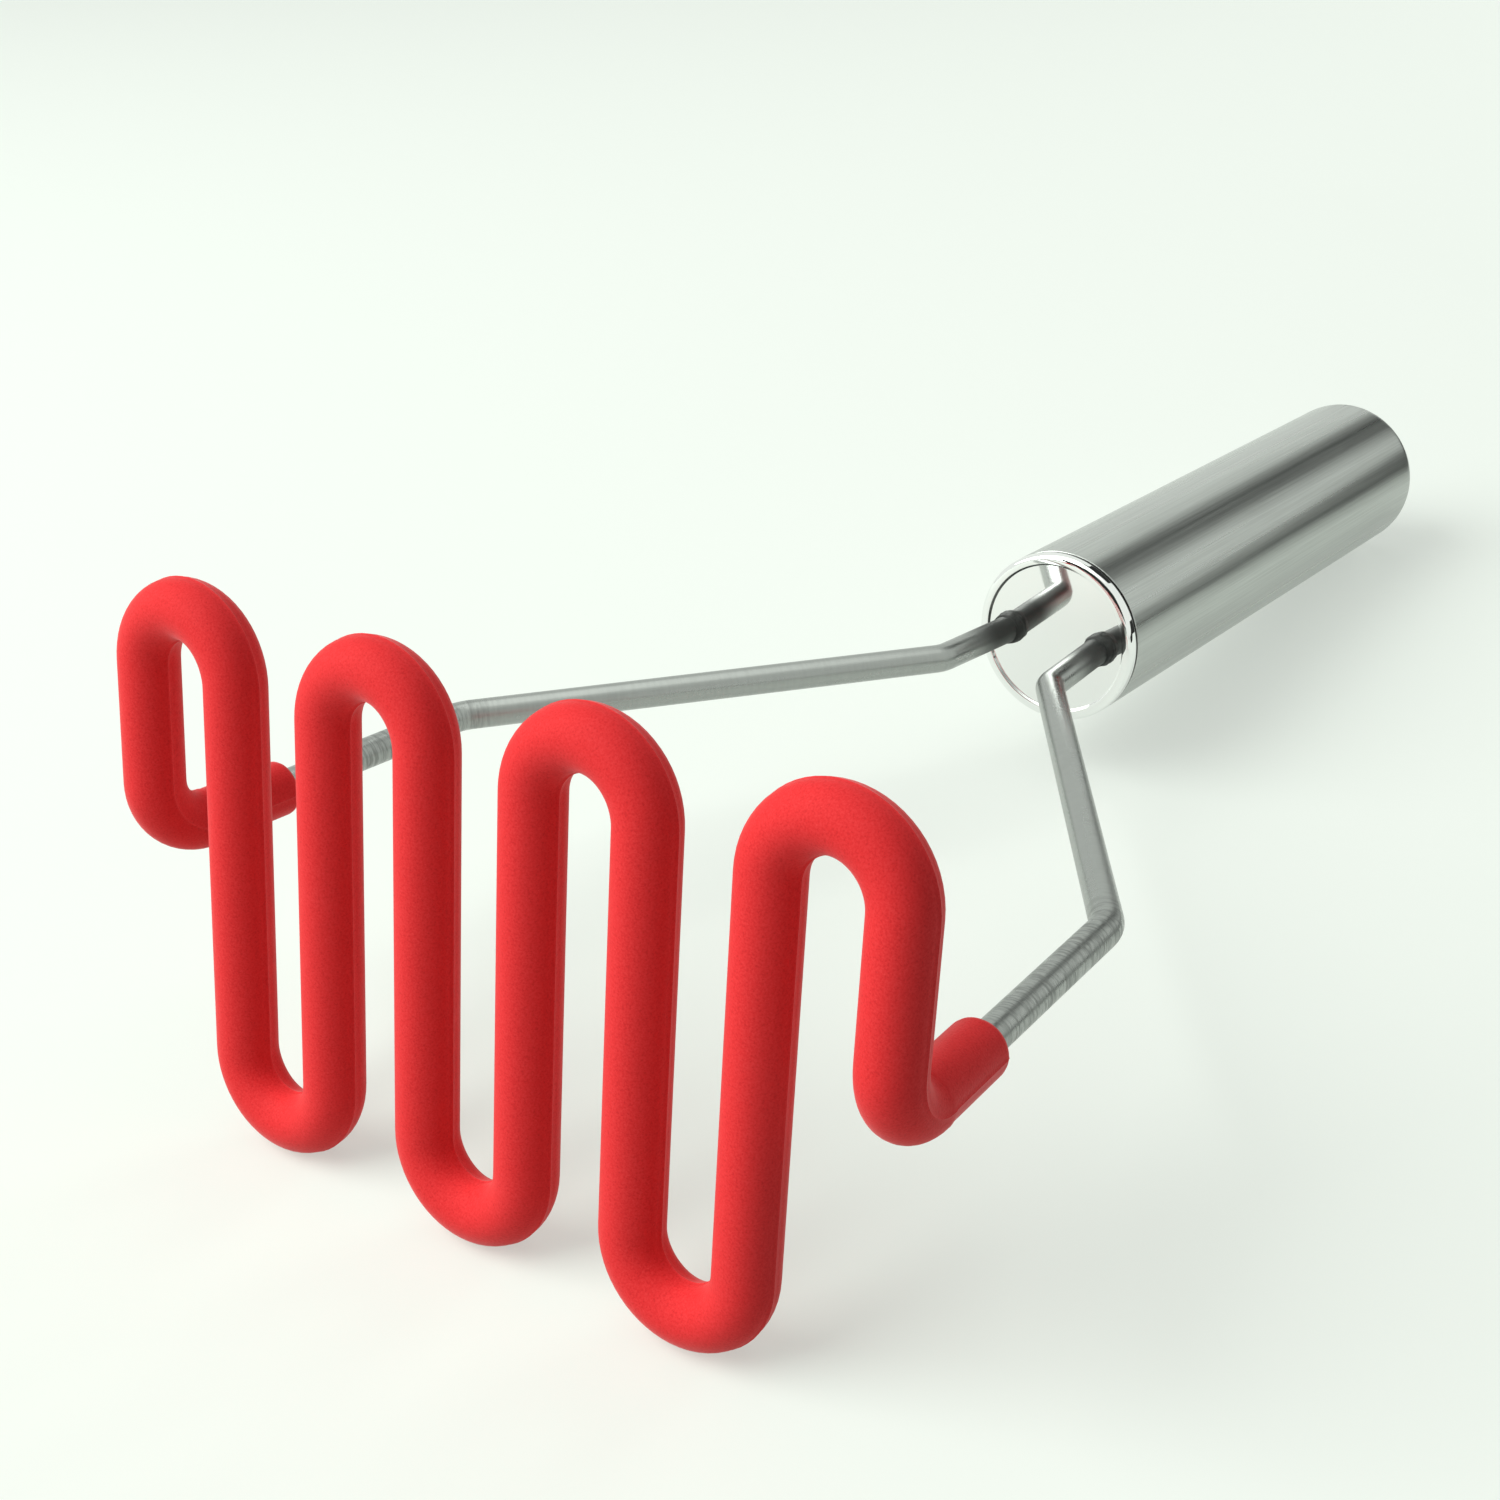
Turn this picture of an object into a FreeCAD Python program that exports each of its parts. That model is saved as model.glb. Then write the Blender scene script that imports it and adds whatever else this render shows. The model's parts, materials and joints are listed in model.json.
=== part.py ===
"""Potato masher: one bent steel rod with a silicone covered head, welded into a tubular handle.

The masher lies on a table, resting on the lower bends of its head and on the rear end of its handle.
It is drawn first in its own frame: the handle's axis is +Y, X runs across the head, and the head
stands near Y = 0. The finished pieces then share one placement, which lays the masher down on Z = 0
with the middle of its footprint at the origin.
"""
import FreeCAD, Part
import math
import os

import Sketcher
from FreeCAD import Placement, Rotation, Vector

# Driving dimensions: name, value in millimetres (or degrees, or a count), what it measures.
SIZES = [
    ("leg_count", 8, "upright legs of the head, an even number"),
    ("leg_pitch", 16.5, "spacing of neighbouring legs"),
    ("leg_straight", 49.5, "straight length of a leg between its two bends"),
    ("head_lean", 4.7, "degrees by which the head's top leans towards the handle"),
    ("rod_dia", 4.4, "diameter of the bent rod"),
    ("cover_wall", 1.8, "thickness of the silicone over the rod"),
    ("cover_reach", 21.3, "how far the silicone runs back along each arm"),
    ("cover_round", 1.4, "rounding of the silicone's two ends"),
    ("heel_bend", 7.3, "bend radius from an outer leg into its arm"),
    ("knee_bend", 6.8, "bend radius where an arm turns inwards"),
    ("neck_bend", 4.4, "bend radius where an arm turns into the handle"),
    ("knee_inset", 3.45, "knee corner, inwards from the outer leg"),
    ("knee_back", 53.9, "knee corner, behind the head"),
    ("neck_splay", 1.4, "neck corner, outwards from the rod's hole in the front cap"),
    ("neck_ahead", 18.7, "neck corner, in front of the front cap's face"),
    ("entry_margin", 1.2, "rod inside the handle, from the front cap's skirt"),
    ("entry_bend", 13.2, "bend radius of the slight turn at the front cap"),
    ("tail_length", 14, "rod end inside the handle, behind the front cap's face"),
    ("face_back", 136, "front cap's polished face, behind the head"),
    ("handle_length", 116.6, "from the front cap's face to the handle's rear end"),
    ("tube_dia", 28, "outer diameter of the handle tube"),
    ("tube_wall", 1, "wall of the handle tube"),
    ("seam_bevel", 0.3, "bevel each side of the seam between tube and cap"),
    ("cap_sheet", 1.2, "sheet thickness of both caps"),
    ("cap_skirt", 6, "skirt of each cap inside the tube"),
    ("cap_fit", 0.1, "radial gap between a cap's skirt and the tube"),
    ("rim_width", 1.7, "width of the front cap's raised rim"),
    ("rim_height", 0.5, "height of the rim over the polished face"),
    ("rim_depth", 1.5, "rim from the polished face back to the tube"),
    ("rim_round", 0.9, "rounding of the rim's outer edge"),
    ("rim_soften", 0.3, "rounding of the rim's inner edge"),
    ("rear_round", 2.6, "rounding of the rear cap's edge"),
    ("rear_land", 0.6, "straight wall of the rear cap from its rounding to the tube"),
    ("hole_fit", 0.05, "radial gap between the rod and its hole in the front cap"),
    ("bead_width", 0.6, "radial width of a weld bead"),
    ("bead_length", 1.9, "length of a weld bead along the rod"),
]
SIZE = {name: value for name, value, meaning in SIZES}

# Short names for the expressions that bind a feature to the sheet.
TUBE_R = "Sizes.tube_dia / 2"
ROD_R = "Sizes.rod_dia / 2"
PLUG_R = "Sizes.tube_dia / 2 - Sizes.tube_wall - Sizes.cap_fit"
PLUG_BORE_R = PLUG_R + " - Sizes.cap_sheet"
ENTRY_X = PLUG_BORE_R + " - Sizes.entry_margin - Sizes.rod_dia / 2"
FACE_Y = "Sizes.face_back"
TUBE_FRONT_Y = "Sizes.face_back + Sizes.rim_depth"
REAR_Y = "Sizes.face_back + Sizes.handle_length"
TUBE_REAR_Y = REAR_Y + " - Sizes.rear_round - Sizes.rear_land"


def add_size_sheet(doc):
    """Spreadsheet with one row per driving dimension; the aliases are used by every sub-part."""
    sheet = doc.addObject("Spreadsheet::Sheet", "Sizes")
    for row, (name, value, meaning) in enumerate(SIZES, start=1):
        sheet.set("A%d" % row, name)
        sheet.set("B%d" % row, str(value))
        sheet.set("C%d" % row, meaning)
        sheet.setAlias("B%d" % row, name)
    doc.recompute()
    return sheet


def entry_across():
    """Distance of each rod hole from the middle plane: just inside the front cap's skirt."""
    skirt_bore = SIZE["tube_dia"] / 2 - SIZE["tube_wall"] - SIZE["cap_fit"] - SIZE["cap_sheet"]
    return skirt_bore - SIZE["entry_margin"] - SIZE["rod_dia"] / 2


def head_point(across, up):
    """Point of the leaning head plane, from its distances along X and up the legs."""
    lean = math.radians(SIZE["head_lean"])
    return Vector(across, up * math.sin(lean), up * math.cos(lean))


def arm_corners(side):
    """Corners of one arm from inside the handle to the heel, as (point, bend radius)."""
    heel_across = (SIZE["leg_count"] - 1) * SIZE["leg_pitch"] / 2
    hole_across = entry_across()
    neck_across = hole_across + SIZE["neck_splay"]
    knee_across = heel_across - SIZE["knee_inset"]
    tail = Vector(side * hole_across, SIZE["face_back"] + SIZE["tail_length"], 0)
    entry = Vector(side * hole_across, SIZE["face_back"] - SIZE["bead_length"], 0)
    neck = Vector(side * neck_across, SIZE["face_back"] - SIZE["neck_ahead"], 0)
    knee = Vector(side * knee_across, SIZE["knee_back"], 0)
    heel = Vector(side * heel_across, 0, 0)
    return [
        (tail, 0),
        (entry, SIZE["entry_bend"]),
        (neck, SIZE["neck_bend"]),
        (knee, SIZE["knee_bend"]),
        (heel, SIZE["heel_bend"]),
    ]


def head_corners():
    """Corners of the serpentine from the left outer leg to the right one."""
    turn = SIZE["leg_pitch"] / 2
    reach = SIZE["leg_straight"] / 2 + turn
    corners = []
    for leg in range(SIZE["leg_count"]):
        across = (leg - (SIZE["leg_count"] - 1) / 2) * SIZE["leg_pitch"]
        first, second = (-reach, reach) if leg % 2 == 0 else (reach, -reach)
        if leg > 0:
            corners.append((head_point(across, first), turn))
        if leg < SIZE["leg_count"] - 1:
            corners.append((head_point(across, second), turn))
    return corners


def rod_corners():
    """Corners of the whole rod, from the left tail round the head to the right tail."""
    return arm_corners(-1) + head_corners() + arm_corners(1)[::-1]


def cover_corners():
    """Corners of the covered stretch, which starts and ends on the arms behind the heels."""
    left = arm_corners(-1)[-2:]
    right = arm_corners(1)[-2:]
    ends = []
    for (knee, _), heel_corner in (left, right):
        heel = heel_corner[0]
        end = heel + (knee - heel).normalize() * SIZE["cover_reach"]
        ends.append([(end, 0), heel_corner])
    return ends[0] + head_corners() + ends[1][::-1]


def rounded_path(corners):
    """Wire of straight runs joined by tangent arcs, one arc at each inner corner."""
    edges = []
    here = corners[0][0]
    for index in range(1, len(corners) - 1):
        corner, radius = corners[index]
        back = (corners[index - 1][0] - corner).normalize()
        ahead = (corners[index + 1][0] - corner).normalize()
        half_angle = back.getAngle(ahead) / 2
        setback = radius / math.tan(half_angle)
        middle = (back + ahead).normalize()
        start = corner + back * setback
        end = corner + ahead * setback
        crown = corner + middle * (radius / math.sin(half_angle) - radius)
        if start.distanceToPoint(here) > 1e-6:
            edges.append(Part.LineSegment(here, start).toShape())
        edges.append(Part.Arc(start, crown, end).toShape())
        here = end
    edges.append(Part.LineSegment(here, corners[-1][0]).toShape())
    return Part.Wire(edges)


def add_bar(doc, name, corners, radius):
    """Round bar swept along a rounded path; its radius is bound to the sheet."""
    path = doc.addObject("Part::Feature", name + "_path")
    path.Shape = rounded_path(corners)
    section = doc.addObject("Part::Circle", name + "_section")
    section.setExpression("Radius", radius)
    direction = (corners[1][0] - corners[0][0]).normalize()
    section.Placement = Placement(corners[0][0], Rotation(Vector(0, 0, 1), direction))
    bar = doc.addObject("Part::Sweep", name)
    bar.Sections = [section]
    bar.Spine = (path, ["Edge%d" % (number + 1) for number in range(len(path.Shape.Edges))])
    bar.Solid = True
    bar.Frenet = False
    doc.recompute()
    return bar


def add_rod(doc):
    """The rod: one length of steel bar, from the left tail round the head to the right tail."""
    return add_bar(doc, "masher_rod", rod_corners(), ROD_R)


def add_cover(doc):
    """Silicone moulded over the rod's head, with its two ends rounded."""
    cover_r = ROD_R + " + Sizes.cover_wall"
    skin = add_bar(doc, "cover_skin", cover_corners(), cover_r)
    ends = [corner[0] for corner in (cover_corners()[0], cover_corners()[-1])]
    outer_r = SIZE["rod_dia"] / 2 + SIZE["cover_wall"]
    rounded = doc.addObject("Part::Fillet", "cover_rounded")
    rounded.Base = skin
    rounded.Edges = [
        (number + 1, SIZE["cover_round"], SIZE["cover_round"])
        for number, edge in enumerate(skin.Shape.Edges)
        if is_circle_at(edge, ends, outer_r)
    ]
    core = add_bar(doc, "cover_core", cover_corners(), ROD_R)
    cover = doc.addObject("Part::Cut", "silicone_cover")
    cover.Base = rounded
    cover.Tool = core
    return cover


def is_circle_at(edge, centres, radius):
    """True for a full circle of the given radius about one of the given centres."""
    centre = edge.CenterOfMass
    length = 2 * math.pi * radius
    near = any(centre.distanceToPoint(point) < 0.01 for point in centres)
    return near and abs(edge.Length - length) < 0.01


def add_body(doc, name):
    """Empty body with a Label of its own."""
    body = doc.addObject("PartDesign::Body", name)
    body.Label = name
    return body


def origin_feature(body, role):
    """One of the body's own origin planes or axes."""
    return [item for item in body.Origin.OriginFeatures if item.Role == role][0]


def add_sketch(body, name, role="XY_Plane"):
    """Sketch on one of the body's origin planes."""
    sketch = body.newObject("Sketcher::SketchObject", name)
    sketch.AttachmentSupport = [(origin_feature(body, role), "")]
    sketch.MapMode = "FlatFace"
    return sketch


def bind(sketch, kind, place, expression):
    """Dimension between the sketch's origin and a point, bound to the sheet."""
    constraint = sketch.addConstraint(Sketcher.Constraint(kind, -1, 1, place[0], place[1], 1.0))
    sketch.setExpression("Constraints[%d]" % constraint, expression)


def draw_half_profile(sketch, points):
    """Closed outline of (radius, distance along Y) pairs; None is a radius on the Y axis itself."""
    count = len(points)
    # The outline starts as a regular polygon; its dimensions then pull every corner into place.
    rough = [
        Rotation(Vector(0, 0, 1), 360 * index / count).multVec(Vector(10, 0, 0))
        for index in range(count)
    ]
    for index in range(count):
        sketch.addGeometry(Part.LineSegment(rough[index], rough[(index + 1) % count]), False)
    for index in range(count):
        following = (index + 1) % count
        sketch.addConstraint(Sketcher.Constraint("Coincident", index, 2, following, 1))
    for index, (radius, along) in enumerate(points):
        if radius is None:
            sketch.addConstraint(Sketcher.Constraint("PointOnObject", index, 1, -2))
        else:
            bind(sketch, "DistanceX", (index, 1), radius)
        bind(sketch, "DistanceY", (index, 1), along)


def add_turned(body, name, points):
    """Solid of revolution about the body's Y axis."""
    sketch = add_sketch(body, name + "_profile")
    draw_half_profile(sketch, points)
    turned = body.newObject("PartDesign::Revolution", name)
    turned.Profile = sketch
    turned.ReferenceAxis = (sketch, ["V_Axis"])
    turned.Angle = 360
    body.Document.recompute()
    return turned


def round_ring(body, name, base, radius, along, alias):
    """Fillet the circle of this radius that lies at this distance along Y."""
    names = [
        "Edge%d" % (number + 1)
        for number, edge in enumerate(base.Shape.Edges)
        if is_circle_at(edge, [Vector(0, along, 0)], radius)
    ]
    fillet = body.newObject("PartDesign::Fillet", name)
    fillet.Base = (base, names)
    fillet.setExpression("Radius", "Sizes." + alias)
    body.Document.recompute()
    return fillet


def add_tube(doc):
    """Handle tube, open at both ends, with a small outer bevel at each seam."""
    body = add_body(doc, "handle_tube")
    bore_r = TUBE_R + " - Sizes.tube_wall"
    bevel_r = TUBE_R + " - Sizes.seam_bevel"
    add_turned(body, "tube", [
        (bore_r, TUBE_FRONT_Y),
        (bevel_r, TUBE_FRONT_Y),
        (TUBE_R, TUBE_FRONT_Y + " + Sizes.seam_bevel"),
        (TUBE_R, TUBE_REAR_Y + " - Sizes.seam_bevel"),
        (bevel_r, TUBE_REAR_Y),
        (bore_r, TUBE_REAR_Y),
    ])
    return body


def add_front_cap(doc):
    """Polished front cap: a raised rim round a flat face, a skirt in the tube and two rod holes."""
    body = add_body(doc, "front_cap")
    rim_r = TUBE_R + " - Sizes.rim_width"
    crest_y = FACE_Y + " - Sizes.rim_height"
    turned = add_turned(body, "cap", [
        (None, FACE_Y),
        (rim_r, FACE_Y),
        (rim_r, crest_y),
        (TUBE_R, crest_y),
        (TUBE_R, TUBE_FRONT_Y + " - Sizes.seam_bevel"),
        (TUBE_R + " - Sizes.seam_bevel", TUBE_FRONT_Y),
        (PLUG_R, TUBE_FRONT_Y),
        (PLUG_R, TUBE_FRONT_Y + " + Sizes.cap_skirt"),
        (PLUG_BORE_R, TUBE_FRONT_Y + " + Sizes.cap_skirt"),
        (PLUG_BORE_R, FACE_Y + " + Sizes.cap_sheet"),
        (None, FACE_Y + " + Sizes.cap_sheet"),
    ])
    crest = SIZE["face_back"] - SIZE["rim_height"]
    outer = SIZE["tube_dia"] / 2
    rounded = round_ring(body, "rim_rounding", turned, outer, crest, "rim_round")
    round_ring(body, "rim_softening", rounded, outer - SIZE["rim_width"], crest, "rim_soften")
    holes = add_sketch(body, "rod_holes", "XZ_Plane")
    for side in (1, -1):
        centre = Vector(side * entry_across(), 0, 0)
        circle = holes.addGeometry(Part.Circle(centre, Vector(0, 0, 1), SIZE["rod_dia"] / 2), False)
        radius = holes.addConstraint(Sketcher.Constraint("Radius", circle, 2.0))
        holes.setExpression("Constraints[%d]" % radius, ROD_R + " + Sizes.hole_fit")
        bind(holes, "DistanceX", (circle, 3), "%d * (%s)" % (side, ENTRY_X))
        holes.addConstraint(Sketcher.Constraint("PointOnObject", circle, 3, -1))
    pocket = body.newObject("PartDesign::Pocket", "rod_hole_cut")
    pocket.Profile = holes
    pocket.Type = "ThroughAll"
    pocket.Midplane = True
    doc.recompute()
    return body


def add_rear_cap(doc):
    """Rear cap: a flat end with a rounded edge and a skirt in the tube."""
    body = add_body(doc, "rear_cap")
    turned = add_turned(body, "end", [
        (None, REAR_Y),
        (TUBE_R, REAR_Y),
        (TUBE_R, TUBE_REAR_Y + " + Sizes.seam_bevel"),
        (TUBE_R + " - Sizes.seam_bevel", TUBE_REAR_Y),
        (PLUG_R, TUBE_REAR_Y),
        (PLUG_R, TUBE_REAR_Y + " - Sizes.cap_skirt"),
        (PLUG_BORE_R, TUBE_REAR_Y + " - Sizes.cap_skirt"),
        (PLUG_BORE_R, REAR_Y + " - Sizes.cap_sheet"),
        (None, REAR_Y + " - Sizes.cap_sheet"),
    ])
    rear = SIZE["face_back"] + SIZE["handle_length"]
    round_ring(body, "end_rounding", turned, SIZE["tube_dia"] / 2, rear, "rear_round")
    return body


def add_weld(doc, name):
    """Weld bead round a rod where it enters the front cap, drawn about the Y axis."""
    body = add_body(doc, name)
    add_turned(body, "bead", [
        (ROD_R, FACE_Y),
        (ROD_R, FACE_Y + " - Sizes.bead_length"),
        (ROD_R + " + Sizes.bead_width * 0.5", FACE_Y + " - Sizes.bead_length * 0.85"),
        (ROD_R + " + Sizes.bead_width * 0.9", FACE_Y + " - Sizes.bead_length * 0.45"),
        (ROD_R + " + Sizes.bead_width", FACE_Y),
    ])
    return body


def resting_placement():
    """Placement that lays the masher down on Z = 0 with its footprint about the origin."""
    lean = math.radians(SIZE["head_lean"])
    reach = SIZE["leg_straight"] / 2 + SIZE["leg_pitch"] / 2
    cover_r = SIZE["rod_dia"] / 2 + SIZE["cover_wall"]
    edge_round = SIZE["rear_round"]
    edge_r = SIZE["tube_dia"] / 2 - edge_round
    edge_y = SIZE["face_back"] + SIZE["handle_length"] - edge_round
    # The lower bends and the rear edge touch one plane:
    # reach cos(lean + tilt) + cover_r = edge_r cos(tilt) + edge_y sin(tilt) + edge_round
    along_cos = reach * math.cos(lean) - edge_r
    along_sin = reach * math.sin(lean) + edge_y
    tilt = math.atan2(along_cos, along_sin) - math.asin(
        (edge_round - cover_r) / math.hypot(along_cos, along_sin))
    lift = reach * math.cos(lean + tilt) + cover_r
    front = -reach * math.sin(lean + tilt) - cover_r
    back = edge_y * math.cos(tilt) + edge_r * math.sin(tilt) + edge_round
    tilt_down = Rotation(Vector(1, 0, 0), -math.degrees(tilt))
    return Placement(Vector(0, -(front + back) / 2, lift), tilt_down)


def check_document(doc, nodes):
    """Stop if any object failed or any sub-part has no valid solid."""
    for item in doc.Objects:
        if "Invalid" in item.State or "Error" in item.State:
            raise RuntimeError("failed object: " + item.Label)
    for node in nodes:
        shape = node.Shape
        if shape.isNull() or not shape.isValid() or len(shape.Solids) != 1:
            raise RuntimeError("bad shape: " + node.Label)


def main():
    doc = FreeCAD.newDocument("potato_masher")
    add_size_sheet(doc)
    rod = add_rod(doc)
    cover = add_cover(doc)
    tube = add_tube(doc)
    front_cap = add_front_cap(doc)
    rear_cap = add_rear_cap(doc)
    resting = resting_placement()
    nodes = [rod, cover, tube, front_cap, rear_cap]
    for node in nodes:
        node.Placement = resting
    for name, side in (("weld_left", -1), ("weld_right", 1)):
        weld = add_weld(doc, name)
        weld.Placement = resting * Placement(Vector(side * entry_across(), 0, 0), Rotation())
        nodes.append(weld)
    doc.recompute()
    check_document(doc, nodes)
    os.makedirs("parts", exist_ok=True)
    for node in nodes:
        node.Shape.exportStep("parts/%s.step" % node.Label)
        print("%-16s %9.1f mm3" % (node.Label, node.Shape.Volume))


main()
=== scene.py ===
"""Potato masher: a silicone covered wire head on bent steel arms and a brushed tube handle.

Every piece is drawn in the tool's own frame, where the handle's axis is +Y, X runs across the head
and the head stands near Y = 0. The lying pose is then worked into each mesh.
"""

import json
import math

import bmesh
import bpy
from bpy.props import FloatProperty, FloatVectorProperty, IntProperty, PointerProperty
from mathutils import Matrix, Vector, noise


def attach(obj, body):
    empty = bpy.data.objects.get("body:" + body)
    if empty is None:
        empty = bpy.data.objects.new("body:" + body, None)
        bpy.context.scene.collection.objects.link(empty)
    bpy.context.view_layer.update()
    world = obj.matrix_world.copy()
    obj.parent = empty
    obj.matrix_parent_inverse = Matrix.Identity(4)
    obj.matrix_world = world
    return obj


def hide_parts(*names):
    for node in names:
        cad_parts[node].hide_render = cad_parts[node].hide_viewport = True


bl_info = {
    "name": "Potato Masher",
    "version": (1, 0, 0),
    "blender": (4, 5, 0),
    "location": "View3D > Sidebar > Masher",
    "description": "Builds a potato masher lying on a pale floor",
    "category": "Add Mesh",
}

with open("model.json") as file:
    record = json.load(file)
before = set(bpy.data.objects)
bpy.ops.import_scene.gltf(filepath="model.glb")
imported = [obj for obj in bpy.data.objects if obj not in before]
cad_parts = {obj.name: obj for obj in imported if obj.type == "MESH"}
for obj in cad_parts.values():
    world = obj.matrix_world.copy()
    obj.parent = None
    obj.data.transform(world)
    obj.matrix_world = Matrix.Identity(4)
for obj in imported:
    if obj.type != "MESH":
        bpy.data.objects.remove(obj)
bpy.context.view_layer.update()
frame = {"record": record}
MOUNTS = {mount["name"]: mount for mount in frame["record"]["mounts"]}
BODY = "root"
MILLI = 0.001


# ---------------------------------------------------------------- sizes and colours

class RodSizes(bpy.types.PropertyGroup):
    """Sizes of the bent rod and of the head that it forms."""

    leg_count: IntProperty(name="Legs", description="Upright legs of the head", default=8, min=2)
    leg_pitch: FloatProperty(
        name="Leg pitch", description="Spacing of neighbouring legs", default=16.5 * MILLI, unit="LENGTH")
    leg_straight: FloatProperty(
        name="Leg straight", description="Straight length of a leg", default=49.5 * MILLI, unit="LENGTH")
    head_lean: FloatProperty(
        name="Head lean", description="Lean of the head's top towards the handle",
        default=math.radians(4.7), subtype="ANGLE")
    radius: FloatProperty(name="Rod radius", description="Radius of the bar", default=2.2 * MILLI, unit="LENGTH")
    heel_bend: FloatProperty(
        name="Heel bend", description="Bend from an outer leg into its arm", default=7.3 * MILLI, unit="LENGTH")
    knee_bend: FloatProperty(
        name="Knee bend", description="Bend where an arm turns inwards", default=6.8 * MILLI, unit="LENGTH")
    neck_bend: FloatProperty(
        name="Neck bend", description="Bend where an arm turns into the handle",
        default=4.4 * MILLI, unit="LENGTH")
    entry_bend: FloatProperty(
        name="Entry bend", description="Slight turn at the front cap", default=13.2 * MILLI, unit="LENGTH")
    knee_inset: FloatProperty(
        name="Knee inset", description="Knee corner, inwards from the outer leg",
        default=3.45 * MILLI, unit="LENGTH")
    knee_back: FloatProperty(
        name="Knee back", description="Knee corner, behind the head", default=53.9 * MILLI, unit="LENGTH")
    neck_splay: FloatProperty(
        name="Neck splay", description="Neck corner, outwards from the rod's hole",
        default=1.4 * MILLI, unit="LENGTH")
    neck_ahead: FloatProperty(
        name="Neck ahead", description="Neck corner, in front of the cap", default=18.7 * MILLI, unit="LENGTH")
    entry_across: FloatProperty(
        name="Entry", description="Rod hole, from the middle plane", default=8.3 * MILLI, unit="LENGTH")
    tail: FloatProperty(
        name="Tail", description="Rod end inside the handle", default=14 * MILLI, unit="LENGTH")


class CoverSizes(bpy.types.PropertyGroup):
    """Sizes of the moulded silicone."""

    radius: FloatProperty(
        name="Cover radius", description="Outer radius of the silicone", default=4 * MILLI, unit="LENGTH")
    reach: FloatProperty(
        name="Cover reach", description="How far the silicone runs back along each arm",
        default=21.3 * MILLI, unit="LENGTH")
    end_round: FloatProperty(
        name="End rounding", description="Rounding of the two ends", default=1.45 * MILLI, unit="LENGTH")
    ledge: FloatProperty(
        name="Ledge", description="Step down from the heel to the slimmer sleeve",
        default=0.12 * MILLI, unit="LENGTH")
    mouth: FloatProperty(
        name="Mouth", description="Flare of the silicone's lip round the rod", default=0.2 * MILLI, unit="LENGTH")
    parting_height: FloatProperty(
        name="Parting height", description="Height of the mould's parting line",
        default=0.09 * MILLI, unit="LENGTH")
    parting_half_angle: FloatProperty(
        name="Parting width", description="Half the angle that the parting line spans",
        default=math.radians(2.2), subtype="ANGLE")


class HandleSizes(bpy.types.PropertyGroup):
    """Sizes of the handle tube and its caps; the tube's radius comes from the handle mount."""

    face_back: FloatProperty(
        name="Cap face", description="Front cap's face, behind the head", default=136 * MILLI, unit="LENGTH")
    length: FloatProperty(
        name="Handle length", description="From the cap's face to the rear end",
        default=116.6 * MILLI, unit="LENGTH")
    radius: FloatProperty(
        name="Tube radius", description="Outer radius of the tube",
        default=MOUNTS["handle_grip"]["dims"]["r_mm"] * MILLI, unit="LENGTH")
    wall: FloatProperty(name="Tube wall", description="Wall of the tube", default=1 * MILLI, unit="LENGTH")
    seam_bevel: FloatProperty(
        name="Seam bevel", description="Bevel each side of a seam", default=0.3 * MILLI, unit="LENGTH")
    seam_gap: FloatProperty(
        name="Seam gap", description="Open joint between front cap and tube", default=0.45 * MILLI,
        unit="LENGTH")
    sheet: FloatProperty(name="Cap sheet", description="Sheet of the caps", default=1.2 * MILLI, unit="LENGTH")
    skirt: FloatProperty(name="Cap skirt", description="Skirt in the tube", default=6 * MILLI, unit="LENGTH")
    skirt_fit: FloatProperty(
        name="Skirt fit", description="Gap between skirt and tube", default=0.1 * MILLI, unit="LENGTH")
    rim_width: FloatProperty(
        name="Rim width", description="Width of the raised rim", default=1.7 * MILLI, unit="LENGTH")
    rim_height: FloatProperty(
        name="Rim height", description="Height of the rim over the face", default=0.5 * MILLI, unit="LENGTH")
    rim_depth: FloatProperty(
        name="Rim depth", description="From the face back to the tube", default=1.5 * MILLI, unit="LENGTH")
    rim_round: FloatProperty(
        name="Rim rounding", description="Rounding of the rim's outer edge", default=0.9 * MILLI, unit="LENGTH")
    rim_soften: FloatProperty(
        name="Rim softening", description="Rounding of the rim's inner edge",
        default=0.3 * MILLI, unit="LENGTH")
    rear_round: FloatProperty(
        name="Rear rounding", description="Rounding of the rear edge", default=2.6 * MILLI, unit="LENGTH")
    rear_land: FloatProperty(
        name="Rear land", description="Straight wall ahead of the rear rounding",
        default=0.6 * MILLI, unit="LENGTH")
    bead_width: FloatProperty(
        name="Bead width", description="Radial width of a weld bead", default=0.6 * MILLI, unit="LENGTH")
    bead_length: FloatProperty(
        name="Bead length", description="Length of a weld bead", default=1.9 * MILLI, unit="LENGTH")


class Finishes(bpy.types.PropertyGroup):
    """Colours of the finishes, as linear values."""

    silicone: FloatVectorProperty(
        name="Silicone", description="Colour of the silicone", default=(0.78, 0.031, 0.034), subtype="COLOR")
    silicone_bloom: FloatVectorProperty(
        name="Silicone bloom", description="Paler colour of worn or dusty silicone",
        default=(0.90, 0.075, 0.080), subtype="COLOR")
    handle_steel: FloatVectorProperty(
        name="Handle steel", description="Colour of the brushed tube", default=(0.49, 0.51, 0.49), subtype="COLOR")
    rod_steel: FloatVectorProperty(
        name="Rod steel", description="Colour of the drawn bar", default=(0.37, 0.385, 0.37), subtype="COLOR")
    polished_steel: FloatVectorProperty(
        name="Polished steel", description="Colour of the mirror polished cap",
        default=(0.88, 0.89, 0.88), subtype="COLOR")
    weld: FloatVectorProperty(
        name="Weld", description="Colour of the weld metal", default=(0.035, 0.037, 0.035), subtype="COLOR")
    floor: FloatVectorProperty(
        name="Floor", description="Colour of the floor", default=(0.905, 0.96, 0.90), subtype="COLOR")


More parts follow.
